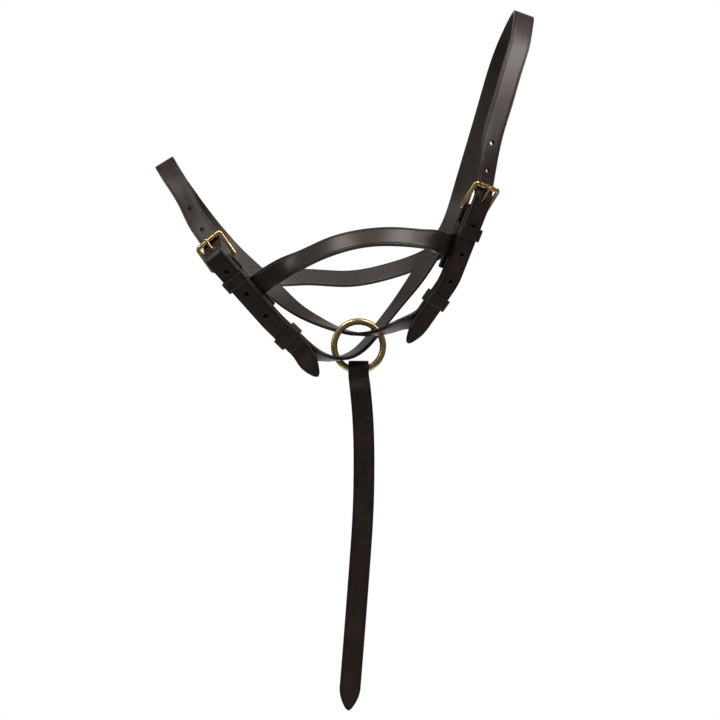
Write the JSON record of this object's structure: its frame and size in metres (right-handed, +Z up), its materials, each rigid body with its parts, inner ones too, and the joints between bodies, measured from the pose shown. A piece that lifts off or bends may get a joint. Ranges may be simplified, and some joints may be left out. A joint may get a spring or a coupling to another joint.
{
  "type": "foal halter",
  "caption": "Leather foal halter: crossed crown and nose straps with buckles and keepers, cheek straps, and a jaw ring carrying a short handling strap.",
  "frame": {"origin": "the poll, where the middle of the crown strap lies on the foal: the inner face of the strap at the top of the crown loop", "axes": "+Z up; the foal faces -X; its near (left) side, with both buckles, is -Y"},
  "size_m": [0.3415, 0.1757, 0.6311],
  "materials": {
    "leather": "smooth dark havana bridle leather with blackened edges",
    "keeper_leather": "thinner dark leather",
    "brass": "polished"
  },
  "bodies": {
    "halter": {"crown_strap": "leather", "nose_strap": "leather", "near_cheek_strap": "leather", "far_cheek_strap": "leather", "nose_fixed_keeper": "keeper_leather", "crown_fixed_keeper": "keeper_leather", "nose_buckle_frame": "brass", "crown_buckle_frame": "brass"},
    "ring": {"jaw_ring": "brass"},
    "tail": {"tail_strap": "leather"},
    "nose_roller": {"nose_buckle_roller": "brass"},
    "nose_tongue": {"nose_buckle_tongue": "brass"},
    "nose_runner": {"nose_runner_keeper": "keeper_leather"},
    "crown_roller": {"crown_buckle_roller": "brass"},
    "crown_tongue": {"crown_buckle_tongue": "brass"},
    "crown_runner": {"crown_runner_keeper": "keeper_leather"}
  },
  "joints": [
    {"name": "ring_turn", "type": "hinge", "parent": "halter", "child": "ring", "pos_m": [-0.148, 0, -0.29608], "axis": [0, 1, 0], "range_deg": [-30, 12]},
    {"name": "tail_swing", "type": "hinge", "parent": "ring", "child": "tail", "pos_m": [-0.148, 0, -0.31808], "axis": [1, 0, 0], "range_deg": [-70, 70]},
    {"name": "nose_roller_spin", "type": "hinge", "parent": "halter", "child": "nose_roller", "pos_m": [-0.27724, -0.05197, -0.20596], "axis": [0.7515, -0.3651, 0.5494], "continuous": true},
    {"name": "nose_tongue_lift", "type": "hinge", "parent": "halter", "child": "nose_tongue", "pos_m": [-0.2631, -0.05292, -0.22594], "axis": [0.7515, -0.3651, 0.5494], "range_deg": [0, 5]},
    {"name": "nose_runner_slide", "type": "slide", "parent": "halter", "child": "nose_runner", "axis": [0.7047, 0.17, -0.6888], "range_m": [-0.004, 0.008]},
    {"name": "crown_roller_spin", "type": "hinge", "parent": "halter", "child": "crown_roller", "pos_m": [-0.03822, -0.06352, -0.16126], "axis": [0.7783, 0.5977, -0.1923], "continuous": true},
    {"name": "crown_tongue_lift", "type": "hinge", "parent": "halter", "child": "crown_tongue", "pos_m": [-0.05006, -0.05433, -0.18064], "axis": [0.7783, 0.5977, -0.1923], "range_deg": [0, 5]},
    {"name": "crown_runner_slide", "type": "slide", "parent": "halter", "child": "crown_runner", "axis": [-0.5659, 0.148, -0.8111], "range_m": [-0.004, 0.008]}
  ]
}
